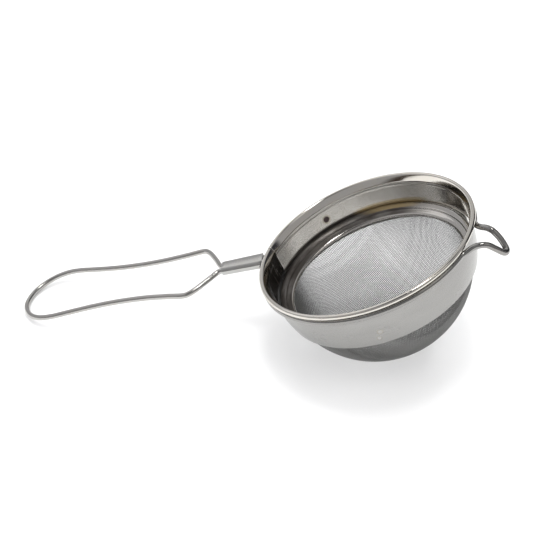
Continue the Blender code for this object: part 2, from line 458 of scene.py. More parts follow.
class SharedEffects:
    """Node groups that several finishes or layers use, each made once."""

    ROUND_STRETCH = 9.0
    LINE_HAZE = 0.6
    WARM_SHIFT = (1.03, 0.97, 0.88)
    SPECK_SHARE = 0.35
    SPECK_COLOUR = (0.16, 0.13, 0.11, 1.0)
    WALL_SKIN = 0.12 * MM
    LIP_FADE = 0.4 * MM
    PAINTED_UPPER_FADE = 0.9 * MM
    PAINTED_LOWER_FADE = 0.15 * MM

    @staticmethod
    def round_lanes() -> bpy.types.NodeTree:
        """Stretch places so that a noise runs in lines round the bowl, Pitch apart."""
        def draw(sketch: NodeSketch, given: object) -> dict:
            x, y, z = sketch.axes(given["Place"])
            lane = sketch.add("ShaderNodeCombineXYZ")
            turn = sketch.math("ARCTAN2", y, x)
            for socket, source in zip(lane.inputs, (
                    sketch.math("DIVIDE", sketch.reach(given["Place"]), given["Pitch"]),
                    sketch.math("MULTIPLY", turn, SharedEffects.ROUND_STRETCH),
                    sketch.math("DIVIDE", z, given["Pitch"]))):
                sketch.feed(socket, source)
            return {"Lane": lane.outputs[0]}
        return shared_group("round_lanes", {"Place": Sockets.VECTOR, "Pitch": Sockets.VALUE},
                            {"Lane": Sockets.VECTOR}, draw)

    @staticmethod
    def hairlines() -> bpy.types.NodeTree:
        """Fine polishing lines in stretched places, with hazier stretches."""
        def draw(sketch: NodeSketch, given: object) -> dict:
            broad = sketch.noise(given["Place"], 0.17, 2.0)
            return {"Height": sketch.noise(given["Place"], 1.0, 3.0, 0.6),
                    "Haze": sketch.range(broad, 0.35, 0.75)}
        return shared_group("hairlines", {"Place": Sockets.VECTOR},
                            {"Height": Sockets.VALUE, "Haze": Sockets.VALUE}, draw)

    @staticmethod
    def handling() -> bpy.types.NodeTree:
        """Soft smudges and sparse specks that come with use."""
        def draw(sketch: NodeSketch, given: object) -> dict:
            cloud = sketch.noise(given["Place"], 95.0, 4.0, 0.6, 0.8)
            grit = sketch.noise(given["Place"], 900.0, 2.0)
            return {"Smudge": sketch.range(cloud, 0.42, 0.72), "Speck": sketch.range(grit, 0.70, 0.78)}
        return shared_group("handling", {"Place": Sockets.VECTOR},
                            {"Smudge": Sockets.VALUE, "Speck": Sockets.VALUE}, draw)

    @staticmethod
    def worn_steel() -> bpy.types.NodeTree:
        """Bright steel with hairlines along Lane, and with smudges and specks."""
        def draw(sketch: NodeSketch, given: object) -> dict:
            lines = sketch.use(SharedEffects.hairlines(), place=given["Lane"])
            wear = sketch.use(SharedEffects.handling(), place=given["Place"])
            warm = sketch.vector("MULTIPLY", given["Colour"], SharedEffects.WARM_SHIFT)
            tone = sketch.mix(sketch.product(wear["Smudge"], given["Warmth"]), given["Colour"], warm)
            tone = sketch.mix(sketch.product(wear["Speck"], SharedEffects.SPECK_SHARE), tone,
                              SharedEffects.SPECK_COLOUR)
            rough = sketch.math("MULTIPLY_ADD", wear["Smudge"], given["Haze"], given["Roughness"])
            line_haze = sketch.product(given["Haze"], SharedEffects.LINE_HAZE)
            rough = sketch.math("MULTIPLY_ADD", lines["Haze"], line_haze, rough)
            return {"Colour": tone, "Roughness": rough, "Height": lines["Height"]}
        value = Sockets.VALUE
        return shared_group("worn_steel", {"Place": Sockets.VECTOR, "Lane": Sockets.VECTOR,
                                           "Colour": Sockets.COLOUR, "Warmth": value,
                                           "Haze": value, "Roughness": value},
                            {"Colour": Sockets.COLOUR, "Roughness": value, "Height": value}, draw)

    @staticmethod
    def spot() -> bpy.types.NodeTree:
        """Masks of a round mark with a soft edge, and of a thin ring round it."""
        def draw(sketch: NodeSketch, given: object) -> dict:
            away = sketch.vector("DISTANCE", given["Place"], given["Centre"], "Value")
            share = sketch.math("DIVIDE", away, given["Radius"])
            return {"Disc": sketch.range(share, 0.8, 1.0, 1.0, 0.0),
                    "Ring": sketch.product(sketch.range(share, 0.75, 1.05),
                                           sketch.range(share, 1.05, 1.5, 1.0, 0.0))}
        return shared_group("spot", {"Place": Sockets.VECTOR, "Centre": Sockets.VECTOR,
                                     "Radius": Sockets.VALUE},
                            {"Disc": Sockets.VALUE, "Ring": Sockets.VALUE}, draw)

    @staticmethod
    def wall_sides() -> bpy.types.NodeTree:
        """Masks of the band's outer and inner surface; Inset is how far the foot is drawn in."""
        def draw(sketch: NodeSketch, given: object) -> dict:
            height = sketch.axes(given["Place"])[2]
            run = sketch.range(height, given["Foot"], given["Top"], 1.0, 0.0, smooth=False)
            inset = sketch.product(sketch.math("POWER", run, given["Taper"]), given["Inset"])
            middle = sketch.math("SUBTRACT", given["Radius"], SharedEffects.WALL_SKIN)
            past = sketch.math("SUBTRACT", sketch.reach(given["Place"]), middle)
            past = sketch.math("ADD", past, inset)
            fade = sketch.math("SUBTRACT", given["Top"], SharedEffects.LIP_FADE)
            outside = sketch.product(sketch.math("GREATER_THAN", past, 0.0),
                                     sketch.range(height, fade, given["Top"], 1.0, 0.0))
            return {"Outside": outside, "Inside": sketch.math("SUBTRACT", 1.0, outside)}
        kinds = {title: Sockets.VALUE for title in ("Radius", "Inset", "Foot", "Top", "Taper")}
        return shared_group("wall_sides", {"Place": Sockets.VECTOR, **kinds},
                            {"Outside": Sockets.VALUE, "Inside": Sockets.VALUE}, draw)

    @staticmethod
    def painted_light_zone() -> bpy.types.NodeTree:
        """Mask of an uneven zone of painted light from Low to High, on the side that Facing points to."""
        def draw(sketch: NodeSketch, given: object) -> dict:
            height = sketch.axes(given["Place"])[2]
            side = sketch.dot(given["Place"], given["Facing"])
            below = sketch.math("SUBTRACT", given["High"], SharedEffects.PAINTED_UPPER_FADE)
            above = sketch.math("SUBTRACT", given["Low"], SharedEffects.PAINTED_LOWER_FADE)
            uneven = sketch.noise(given["Place"], (90.0, 90.0, 900.0), 3.0)
            return {"Share": sketch.product(
                sketch.range(side, given["Side From"], given["Side To"]),
                sketch.range(height, given["High"], below),
                sketch.range(height, above, given["Low"]),
                sketch.range(uneven, 0.25, 0.6, 0.7, 1.0))}
        kinds = {title: Sockets.VALUE for title in ("Side From", "Side To", "Low", "High")}
        return shared_group("painted_light_zone", {"Place": Sockets.VECTOR, "Facing": Sockets.VECTOR, **kinds},
                            {"Share": Sockets.VALUE}, draw)


@dataclass(frozen=True)
class Coat:
    """A finish while its layers go on: the place in the bowl frame, and the look so far."""

    sketch: NodeSketch
    local: bpy.types.NodeSocket
    tone: bpy.types.NodeSocket
    rough: bpy.types.NodeSocket

    def lay(self, share: object, tone: object, strength: float = 1.0, haze: float = 0.0) -> "Coat":
        """Lay a colour over the coat.

        Args:
            share: mask of the layer.
            tone: its colour.
            strength: how much of the colour shows where the mask is 1.
            haze: roughness that it adds where the mask is 1.

        Returns:
            The new coat.
        """
        tone = self.sketch.mix(self.sketch.product(share, strength), self.tone, tone)
        return replace(self, tone=tone,
                       rough=self.sketch.math("MULTIPLY_ADD", share, haze, self.rough))


class Layer(Protocol):
    """Something that is laid over a finish."""

    def paint(self, coat: Coat) -> Coat:
        """Lay this over a coat.

        Args:
            coat: the finish so far.

        Returns:
            The new coat.
        """


@dataclass(frozen=True)
class SteelFinish:
    """Bright stainless steel with hairlines, smudges and specks."""

    name: str
    colour: tuple
    roughness: float
    haze: float = 0.05
    line_depth: float = 0.000002
    line_pitch: float = 0.0001
    line_length: float = 0.006
    warmth: float = 0.25

    def material(self, frame: BowlFrame, round_bowl: bool = True,
                 layers: tuple = ()) -> bpy.types.Material:
        """Make the finish.

        Args:
            frame: the bowl frame that the lines run round.
            round_bowl: hairlines run round the bowl axis; otherwise they run along the handle.
            layers: what is laid over the steel, each a Layer.

        Returns:
            The material.
        """
        material, sketch, inputs = start_material(self.name, 1.0)
        inverse = frame.matrix.inverted()
        mapping = sketch.add("ShaderNodeMapping", vector_type="POINT")
        for title, source in (("Vector", sketch.place()), ("Location", inverse.translation),
                              ("Rotation", inverse.to_euler())):
            sketch.feed(mapping.inputs[title], source)
        local, pitch = mapping.outputs[0], self.line_pitch
        if round_bowl:
            lane = sketch.use(SharedEffects.round_lanes(), place=local, pitch=pitch)["Lane"]
        else:
            lane = sketch.vector("DIVIDE", local, (self.line_length, pitch, pitch))
        steel = sketch.use(SharedEffects.worn_steel(), place=local, lane=lane,
                           colour=opaque(self.colour), warmth=self.warmth, haze=self.haze,
                           roughness=self.roughness)
        coat = Coat(sketch, local, steel["Colour"], steel["Roughness"])
        for layer in layers:
            coat = layer.paint(coat)
        sketch.feed(inputs["Base Color"], coat.tone)
        sketch.feed(inputs["Roughness"], coat.rough)
        sketch.feed(inputs["Normal"], sketch.bump(steel["Height"], 1.0, self.line_depth))
        return material


@dataclass(frozen=True)
class WeldMark:
    """A small round weld on the band: a shallow dimple with a tint."""

    turn_deg: float
    height: float
    wall_radius: float
    radius: float
    depth: float
    tint: tuple
    strength: float
    ring_tint: tuple = (0.33, 0.27, 0.15)
    ring_share: float = 0.5
    haze: float = 0.25

    def centre(self) -> Vector:
        """Place of the mark in the bowl frame."""
        turn = math.radians(self.turn_deg)
        return Vector((self.wall_radius * math.cos(turn), self.wall_radius * math.sin(turn),
                       self.height))

    def press(self, places: np.ndarray) -> np.ndarray:
        """Press the dimple into vertices.

        Args:
            places: vertex places in the bowl frame.

        Returns:
            The places with those near the mark moved along the radius.
        """
        centre = np.array(self.centre())
        away = np.linalg.norm(places - centre, axis=1) / self.radius
        return push_outward(places, (1.0 - ease(away)) * self.depth)

    def paint(self, coat: Coat) -> Coat:
        """Tint the mark and a ring round it."""
        spot = coat.sketch.use(SharedEffects.spot(), place=coat.local, centre=self.centre(),
                               radius=self.radius)
        coat = coat.lay(spot["Ring"], opaque(self.ring_tint), self.ring_share * self.strength)
        return coat.lay(spot["Disc"], opaque(self.tint), self.strength, self.haze * self.strength)


@dataclass(frozen=True)
class OuterSatin:
    """The duller rolled surface on the outside of the band."""

    wall_radius: float
    foot_radius: float
    wall_top: float
    depth: float
    taper: float
    colour: tuple = (0.325, 0.321, 0.310)
    roughness: float = 0.22

    def side(self, coat: Coat, side: str) -> bpy.types.NodeSocket:
        """Mask of the band's Outside or Inside."""
        return coat.sketch.use(SharedEffects.wall_sides(), place=coat.local, radius=self.wall_radius,
                               inset=self.wall_radius - self.foot_radius, foot=-self.depth,
                               top=self.wall_top, taper=self.taper)[side]

    def paint(self, coat: Coat) -> Coat:
        """Lay the duller surface over the outside of the band."""
        cloud = coat.sketch.noise(coat.local, (60.0, 60.0, 260.0), 3.0)
        dull = coat.sketch.mix(cloud, opaque(self.colour, 0.9), opaque(self.colour, 1.1))
        return coat.lay(self.side(coat, "Outside"), dull, haze=self.roughness - POLISHED_ROUGHNESS)


@dataclass(frozen=True)
class GrooveShade:
    """Painted light between two heights inside the bowl, strongest on one side: the dark painted shade
    above the ring, and a gold painted reflection.
    """

    low: float
    high: float
    facing_deg: float = 150.0
    side_from: float = -3.0 * MM
    side_to: float = 14.0 * MM
    colour: tuple = (0.045, 0.037, 0.031)
    strength: float = 0.9
    haze: float = 0.3
    wall: OuterSatin | None = None

    def paint(self, coat: Coat) -> Coat:
        """Lay the painted light between the two heights, only inside the wall where one is given."""
        facing = math.radians(self.facing_deg)
        share = coat.sketch.use(SharedEffects.painted_light_zone(), place=coat.local,
                                facing=(math.cos(facing), math.sin(facing), 0.0),
                                side_from=self.side_from, side_to=self.side_to,
                                low=self.low, high=self.high)["Share"]
        if self.wall:
            share = coat.sketch.product(share, self.wall.side(coat, "Inside"))
        return coat.lay(share, opaque(self.colour), self.strength, self.haze)


@dataclass(frozen=True)
class SeamShade:
    """Dark painted reflection on the inner wall past the strip's seam, broken by thin scratch-like lines
    where the steel shows.
    """

    seam_deg: float
    wall: OuterSatin
    reach_deg: float = 34.0
    seam_fade: float = 0.1 * MM
    far_fade: tuple = (28.0 * MM, 33.0 * MM)
    lip_fade: tuple = (34.62 * MM, 34.7 * MM)
    strength: float = 0.9
    scratch_strength: float = 0.55
    colour: tuple = (0.05, 0.049, 0.047)

    def paint(self, coat: Coat) -> Coat:
        """Paint the dark reflection on the inner wall from the seam onward."""
        sketch, local = coat.sketch, coat.local
        seam, middle = math.radians(self.seam_deg), math.radians(self.seam_deg + self.reach_deg / 2)
        past = sketch.dot(local, (-math.sin(seam), math.cos(seam), 0.0))
        along = sketch.dot(local, (math.cos(middle), math.sin(middle), 0.0))
        lines = sketch.noise(local, (700.0, 500.0, 110.0), 2.0, 0.5, 1.2)
        scratch = sketch.range(lines, 0.58, 0.62, 0.0, self.scratch_strength)
        share = sketch.product(sketch.range(past, 0.0, self.seam_fade),
                               sketch.range(along, *self.far_fade),
                               sketch.range(sketch.reach(local), *self.lip_fade, 1.0, 0.0),
                               self.wall.side(coat, "Inside"),
                               sketch.math("SUBTRACT", self.strength, scratch))
        return coat.lay(share, opaque(self.colour))


@dataclass(frozen=True)
class ClothFinish:
    """Satin wire cloth, a little darker where it is smudged."""

    name: str = "woven_steel"
    colour: tuple = (0.25, 0.25, 0.244)
    roughness: float = 0.5
    smudge_share: float = 0.5
    smudge_factor: float = 0.82
    haze: float = 0.08
    draw_scale: float = 9000.0
    draw_strength: float = 0.4
    draw_depth: float = 0.000004

    def material(self) -> bpy.types.Material:
        """Make the finish."""
        material, sketch, inputs = start_material(self.name, 1.0)
        place = sketch.place()
        smudge = sketch.use(SharedEffects.handling(), place=place)["Smudge"]
        draw = sketch.noise(place, self.draw_scale, 2.0)
        sketch.feed(inputs["Base Color"], sketch.mix(sketch.product(smudge, self.smudge_share),
                                                     opaque(self.colour),
                                                     opaque(self.colour, self.smudge_factor)))
        sketch.feed(inputs["Roughness"], sketch.math("MULTIPLY_ADD", smudge, self.haze, self.roughness))
        sketch.feed(inputs["Normal"], sketch.bump(draw, self.draw_strength, self.draw_depth))
        return material


# ------------------------------------------------------------------------------ sheet parts
@dataclass
class Band:
    """The polished sheet band, its ends meeting in a seam, with the lip curled over the rim wire."""

    rim_radius: float = 37.0 * MM
    lip_radius: float = 0.85 * MM
    sheet: float = 0.4 * MM
    wall_radius: float = 34.8 * MM
    foot_radius: float = 33.1 * MM
    depth: float = 15.95 * MM
    wall_top: float = -1.75 * MM
    taper: float = 2.85
    seam_turn: float = math.radians(171.0)
    seam_gap: float = 0.16 * MM
    seam_rise: float = 0.22 * MM
    seam_reach: float = math.radians(9.0)
    calm_from: float = 0.5 * MM
    calm_run: float = 2.5 * MM
    edge: float = 0.07 * MM
    steps_round: int = 540
    wall_points: int = 90
    bead_height: float = -2.7 * MM
    bead_width: float = 0.28 * MM
    bead_depth: float = 0.07 * MM
    curl_points: int = 24
    curl_start: float = math.radians(150.0)
    curl_stop: float = math.radians(-105.0)
    marks: tuple = field(default_factory=lambda: (
        WeldMark(128.5, -6.4 * MM, 34.3 * MM, 1.3 * MM, 0.10 * MM, (0.055, 0.03, 0.035), 0.92),
        WeldMark(-77.7, -10.4 * MM, 34.4 * MM, 0.8 * MM, -0.07 * MM, (0.45, 0.44, 0.42), 0.5),
        WeldMark(-79.5, -13.0 * MM, 34.0 * MM, 0.7 * MM, 0.06 * MM, (0.55, 0.54, 0.53), 0.4),
    ))

    def wall_at(self, height: float) -> float:
        """Outer radius of the wall at a height."""
        run = max(0.0, (self.wall_top - height) / (self.wall_top + self.depth))
        return self.wall_radius - (self.wall_radius - self.foot_radius) * run ** self.taper

    def profile(self) -> list:
        """Middle line of the sheet, from the foot up the wall and over the lip."""
        half = self.sheet / 2
        points = []
        for index in range(self.wall_points):
            height = -self.depth + (self.wall_top + self.depth) * index / (self.wall_points - 1)
            bead = self.bead_depth * math.exp(-((height - self.bead_height) / self.bead_width) ** 2)
            points.append((self.wall_at(height) - half + bead, height))
        curl = self.lip_radius - half
        centre = self.rim_radius - self.lip_radius
        start, stop = self.curl_start, self.curl_stop
        first = (centre + curl * math.cos(start), curl * math.sin(start))
        flare = [Vector((*points[-2], 0)), Vector((*points[-1], 0)),
                 Vector((*first, 0)), Vector((centre, curl, 0))]
        blend = smooth_run(flare, 6)[7:12]
        points += [(point.x, point.y) for point in blend]
        for index in range(self.curl_points + 1):
            angle = start + (stop - start) * index / self.curl_points
            points.append((centre + curl * math.cos(angle), curl * math.sin(angle)))
        return points

    def shape_seam(self, places: np.ndarray) -> np.ndarray:
        """Let the strip's two ends stand a little flat where they meet.

        Args:
            places: vertex places in the bowl frame.

        Returns:
            The places with the ends of the strip pushed outward.
        """
        turn = np.arctan2(places[:, 1], places[:, 0])
        away = np.abs((turn - self.seam_turn + math.pi) % math.tau - math.pi)
        share = np.clip(1.0 - away / self.seam_reach, 0.0, 1.0) ** 2
        calm = ease((-places[:, 2] - self.calm_from) / self.calm_run)
        return push_outward(places, share * calm * self.seam_rise)

    def build(self) -> bpy.types.Object:
        """Turn the profile, leave the seam open, press the marks, and thicken the sheet."""
        half_gap = self.seam_gap / 2 / self.wall_radius
        turn = Matrix.Rotation(self.seam_turn + half_gap, 3, "Z")
        outline = [turn @ Vector((radius, 0.0, height)) for radius, height in self.profile()]
        item = Bench.line("band", outline)
        Bench.spin(item, self.steps_round, math.tau - 2 * half_gap)
        places = self.shape_seam(Bench.places(item))
        for mark in self.marks:
            places = mark.press(places)
        Bench.place_vertices(item, places)
        Bench.thicken(item, self.sheet, self.edge)
        return item


@dataclass
class Ring:
    """The inner ring: a dished flange with a rolled lower edge that holds the cloth to the band."""

    sheet: float = 0.4 * MM
    edge: float = 0.08 * MM
    steps_round: int = 360
    steps_along: int = 8
    stations: tuple = ((33.5, -9.95), (33.3, -10.4), (32.85, -10.85), (32.35, -11.2), (32.08, -11.36),
                       (31.85, -11.7), (31.35, -11.98), (30.7, -12.2), (30.15, -12.5), (29.88, -12.9),
                       (29.95, -13.35))

    def build(self) -> bpy.types.Object:
        """Turn the ring's section and thicken it."""
        run = smooth_run([Vector((radius * MM, 0.0, height * MM)) for radius, height in self.stations],
                         self.steps_along)
        item = Bench.line("ring", run)
        Bench.spin(item, self.steps_round, math.tau)
        Bench.thicken(item, self.sheet, self.edge)
        return item


# ------------------------------------------------------------------------------ wire cloth
class Run(Enum):
    """The two directions of the wires in the cloth."""

    WARP = 0
    WEFT = 1


@dataclass
class Cloth:
    """Plain woven wire cloth pressed into a bowl.

    The wires keep their spacing along each other and only shear, as pressed cloth does: each crossing
    is the mirror image of the one before it in the plane through its two neighbours and the centre.
    """

    radius: float = 32.28 * MM
    centre_height: float = -9.3 * MM
    top: float = -13.0 * MM
    pitch: float = 0.56 * MM
    wire_radius: float = 0.1 * MM
    turn: float = math.radians(45.0)
    spread: float = math.radians(100.0)
    margin: float = 0.12

    def crossings(self) -> np.ndarray:
        """Unit directions of the crossings of one quarter of the cloth, by row and column."""
        step = self.pitch / self.radius
        count = int(self.spread / step) + 1
        net = np.full((count, count, 3), np.nan)
        for index in range(count):
            angle = index * step
            net[index, 0] = (math.sin(angle), 0.0, -math.cos(angle))
            net[0, index] = (0.0, math.sin(angle), -math.cos(angle))
        limit = (self.top - self.centre_height) / self.radius + self.margin
        for row in range(1, count):
            for column in range(1, count):
                first, second = net[row, column - 1], net[row - 1, column]
                normal = np.cross(first, second)
                size = np.linalg.norm(normal)
                if not size > 1e-9 or max(first[2], second[2]) > limit:
                    continue
                normal /= size
                last = net[row - 1, column - 1]
                net[row, column] = last - 2.0 * (last @ normal) * normal
        return net

    def whole(self) -> np.ndarray:
        """Directions of all crossings, mirrored from the quarter, by row and column."""
        quarter = self.crossings()
        count = len(quarter)
        net = np.full((2 * count - 1, 2 * count - 1, 3), np.nan)
        for row_sign in (1, -1):
            for column_sign in (1, -1):
                rows = count - 1 + row_sign * np.arange(count)
                columns = count - 1 + column_sign * np.arange(count)
                net[np.ix_(rows, columns)] = quarter * np.array([row_sign, column_sign, 1.0])
        return net

    def wires(self, run: Run) -> list:
        """Lines of all wires in one direction.

        Args:
            run: warp or weft.

        Returns:
            One array of places per wire, with a place at each crossing.
        """
        net = self.whole()
        middle = len(net) // 2
        parity = (np.add.outer(np.arange(len(net)), np.arange(len(net))) % 2) * 2.0 - 1.0
        lift = parity if run is Run.WARP else -parity
        if run is Run.WEFT:
            net, lift = net.transpose(1, 0, 2), lift.T
        turn = np.array(Matrix.Rotation(self.turn, 3, "Z"))
        limit = (self.top - self.centre_height) / self.radius
        lines = []
        for row in range(len(net)):
            inside = np.isfinite(net[row, :, 2]) & (np.nan_to_num(net[row, :, 2], nan=9.0) < limit)
            if not inside[middle]:
                continue
            low, high = middle, middle
            while low > 0 and inside[low - 1]:
                low -= 1
            while high < len(net) - 1 and inside[high + 1]:
                high += 1
            if high - low < 2:
                continue
            at = net[row, low:high + 1]
            heights = self.radius + lift[row, low:high + 1] * self.wire_radius
            line = (at * heights[:, None]) @ turn.T
            line[:, 2] += self.centre_height
            lines.append(line)
        return lines

    def build(self, run: Run, name: str) -> bpy.types.Object:
        """Make all wires of one direction as round wires.

        Args:
            run: warp or weft.
            name: name of the new object.

        Returns:
            The wires as one mesh object.
        """
        lines = self.wires(run)
        Bench.clear_selection()
        bpy.ops.curve.primitive_nurbs_path_add()
        item = bpy.context.object
        item.name = name
        item.data.splines.clear()
        item.data.dimensions = "3D"
        for line in lines:
            spline = item.data.splines.new("POLY")
            spline.points.add(len(line) - 1)
            spline.points.foreach_set("co", np.c_[line, np.ones(len(line))].ravel())
        item.data.bevel_depth = self.wire_radius
        item.data.bevel_resolution = 0
        item.data.use_fill_caps = True
        item.data.resolution_u = 1
        bpy.ops.object.convert(target="MESH")
        item = bpy.context.object
        Bench.smooth(item, 75.0)
        return item


# ------------------------------------------------------------------------------ bent wires
@dataclass
class Ferrule:
    """The flattened sleeve between the bowl and the handle."""

    inner: Vector = field(default_factory=lambda: Vector((-38.7, 1.7, -1.15)) * MM)
    outer: Vector = field(default_factory=lambda: Vector((-52.6, 0.0, -0.13)) * MM)
    leg_spacing: float = 1.2 * MM
    flare: float = 1.3
    wire_radius: float = 1.0 * MM
    clearance: float = 0.25 * MM
    tongue: float = 1.2 * MM
    tongue_root: float = 0.3
    wall: float = 0.45 * MM
    edge: float = 0.1 * MM
    sections: int = 12

    def along(self) -> Vector:
        """Direction of the ferrule, away from the bowl."""
        return (self.outer - self.inner).normalized()

    def across(self) -> Vector:
        """Level direction across the ferrule, toward +Y."""
        side = Vector((0, 0, 1)).cross(self.along()).normalized()
        return side if side.y > 0 else -side

    def upward(self) -> Vector:
        """Direction square to the ferrule's flat faces."""
        up = self.along().cross(self.across()).normalized()
        return up if up.z > 0 else -up

    def spread(self, share: float) -> float:
        """Half distance between the two wires at a share of the length from the bowl."""
        return self.leg_spacing * (self.flare + (1 - self.flare) * share)

    def leg(self, share: float, side: int) -> Vector:
        """Centre of one of the two wires inside the ferrule."""
        return self.inner.lerp(self.outer, share) + self.across() * (self.spread(share) * side)

    def outline(self, share: float, grow: float) -> list:
        """Round-ended outline of the sleeve, larger by grow than the wires in it."""
        centre, across, up = self.inner.lerp(self.outer, share), self.across(), self.upward()
        radius = self.wire_radius + grow
        tongue = self.along() * (-self.tongue * max(0.0, 1.0 - share / self.tongue_root))
        corners = []
        for side, first in ((1, -90.0), (-1, 90.0)):
            for index in range(13):
                angle = math.radians(first + 15.0 * index)
                reach = self.spread(share) * side + radius * math.cos(angle)
                corners.append(centre + across * reach + up * (radius * math.sin(angle))
                               + tongue * max(0.0, math.sin(angle)))
        return corners

    def build(self) -> bpy.types.Object:
        """Draw the sleeve's mouth, extrude it along, and give it a wall with rounded ends."""
        middle = self.clearance + self.wall / 2
        item = Bench.line("ferrule", self.outline(0.0, middle), closed=True)
        bpy.ops.object.mode_set(mode="EDIT")
        bpy.ops.mesh.select_all(action="SELECT")
        step = (self.outer - self.inner) / self.sections
        for _ in range(self.sections):
            bpy.ops.mesh.extrude_region_move(TRANSFORM_OT_translate={"value": step})
        bpy.ops.object.mode_set(mode="OBJECT")
        rings = [self.outline(index / self.sections, middle) for index in range(self.sections + 1)]
        Bench.place_vertices(item, np.array([tuple(p) for ring in rings for p in ring]))
        Bench.tidy_normals(item)
        Bench.thicken(item, self.wall, self.edge, segments=3)
        return item


@dataclass
class RimWire:
    """One wire: out of the ferrule, round under the lip, out into the ear, and back."""

    radius: float = 1.0 * MM
    hoop_radius: float = 36.0 * MM
    hoop_height: float = -2.05 * MM
    ear_turn: float = math.radians(-10.5)
    ear_stations: tuple = ((36.5, 6.4, -2.05), (38.3, 4.95, -1.6), (40.4, 4.15, -1.5), (42.3, 3.35, -2.3),
                           (44.0, 2.55, -4.5), (45.4, 1.3, -7.1), (45.8, 0.0, -7.8))
    leave_margin: float = math.radians(3.0)
    gap_half: float = math.radians(7.0)
    tail_shares: tuple = (0.42, 0.2, 0.0)
    near_waypoint: tuple = (-37.7, -0.3, -1.5)
    far_waypoint: tuple = (-38.0, 3.8, -1.5)
    near_steps: int = 110
    far_steps: int = 130
    ear_steps: int = 10
    tail_steps: int = 8

    def hoop(self, start: float, stop: float, steps: int) -> list:
        """Points of a stretch of the hoop under the lip."""
        points = []
        for index in range(steps + 1):
            angle = start + (stop - start) * index / steps
            points.append(Vector((self.hoop_radius * math.cos(angle),
                                  self.hoop_radius * math.sin(angle), self.hoop_height)))
        return points

    def path(self, ferrule: Ferrule) -> list:
        """The wire's centre line from tail to tail."""
        turn = Matrix.Rotation(self.ear_turn, 3, "Z")
        half = [Vector(station) * MM for station in self.ear_stations]
        near_half = [turn @ Vector((point.x, -point.y, point.z)) for point in half]
        far_half = [turn @ point for point in half]
        ear = smooth_run(near_half + far_half[-2::-1], self.ear_steps)
        foot = half[0]
        leave = math.atan2(foot.y, foot.x) + self.leave_margin
        near = self.hoop(math.pi + self.gap_half, math.tau + self.ear_turn - leave, self.near_steps)
        far = self.hoop(self.ear_turn + leave, math.pi - self.gap_half, self.far_steps)
        tail_in = smooth_run([ferrule.leg(share, -1) for share in self.tail_shares]
                             + [Vector(self.near_waypoint) * MM, near[0]], self.tail_steps)
        tail_out = smooth_run([far[-1], Vector(self.far_waypoint) * MM]
                              + [ferrule.leg(share, 1) for share in self.tail_shares[::-1]],
                              self.tail_steps)
        return tail_in[:-1] + near + ear + far + tail_out[1:]

    def build(self, ferrule: Ferrule) -> bpy.types.Object:
        """Draw the centre line and give it the wire's thickness."""
        return Bench.round_wire("rim", self.path(ferrule), self.radius)


@dataclass
class HandleWire:
    """The handle: a long loop with shoulders, a slight waist and a round end."""

    radius: float = 1.0 * MM
    level: float = -0.74 * MM
    rise: float = 0.039
    rim_radius: float = 37.0 * MM
    stations: tuple = ((54.3, 1.95), (56.8, 5.3), (60.1, 9.5), (62.6, 11.7), (65.0, 12.2), (71.0, 11.35),
                       (79.5, 10.45), (88.0, 10.15), (96.5, 10.4), (105.0, 11.2), (113.0, 12.3),
                       (119.0, 13.15), (123.5, 13.15), (127.5, 12.2), (131.0, 10.2), (134.0, 7.0),
                       (135.8, 3.6), (136.3, 0.0))
    tail_shares: tuple = (0.52, 0.8, 1.0)
    steps: int = 12

    def height_at(self, reach: float) -> float:
        """Height of the handle's plane at a distance from the bowl axis."""
        return self.level + self.rise * (reach - self.rim_radius)

    def path(self, ferrule: Ferrule) -> list:
        """The wire's centre line from one tail in the ferrule to the other."""
        half = [Vector((-x * MM, y * MM, self.height_at(x * MM))) for x, y in self.stations]
        mirrored = [Vector((point.x, -point.y, point.z)) for point in half[-2::-1]]
        inside = [ferrule.leg(share, 1) for share in self.tail_shares]
        outside = [ferrule.leg(share, -1) for share in self.tail_shares[::-1]]
        return smooth_run(inside + half + mirrored + outside, self.steps)

    def build(self, ferrule: Ferrule) -> bpy.types.Object:
        """Draw the centre line and give it the wire's thickness."""
        return Bench.round_wire("handle", self.path(ferrule), self.radius)


# ------------------------------------------------------------------------------ studio
@dataclass(frozen=True)
class Panel:
    """A soft round zone of the surroundings that the polished steel mirrors."""

    azimuth_deg: float
    elevation_deg: float
    half_width_deg: float
    softness_deg: float
    colour: tuple

    def mask(self, sketch: NodeSketch, ray: bpy.types.NodeSocket) -> bpy.types.NodeSocket:
        """Share of the zone in a direction.

        Args:
            sketch: the world's sketch.
            ray: direction away from the scene.

        Returns:
            A value from 0 outside the zone to 1 inside it.
        """
        azimuth, elevation = math.radians(self.azimuth_deg), math.radians(self.elevation_deg)
        toward = (math.cos(elevation) * math.cos(azimuth), math.cos(elevation) * math.sin(azimuth),
                  math.sin(elevation))
        outside = math.cos(math.radians(self.half_width_deg + self.softness_deg))
        inside = math.cos(math.radians(self.half_width_deg))
        return sketch.range(sketch.dot(ray, toward), outside, inside, 0.0, 1.0)


@dataclass(frozen=True)
class Lamp:
    """A square area lamp; one that isn't mirrored lights the scene without showing in the steel."""

    name: str
    power: float
    size: float
    place: tuple
    aim: tuple = (0.0, 0.0, 0.0)
    mirrored: bool = False

    def add(self) -> None:
        """Add the lamp, turned to its aim."""
        bpy.ops.object.light_add(type="AREA", location=self.place)
        item = bpy.context.object
        item.name = self.name
        item.data.energy = self.power
        item.data.size = self.size
        item.visible_glossy = self.mirrored
        item.rotation_mode = "QUATERNION"
        toward = Vector(self.aim) - Vector(self.place)
        item.rotation_quaternion = toward.to_track_quat("-Z", "Y")


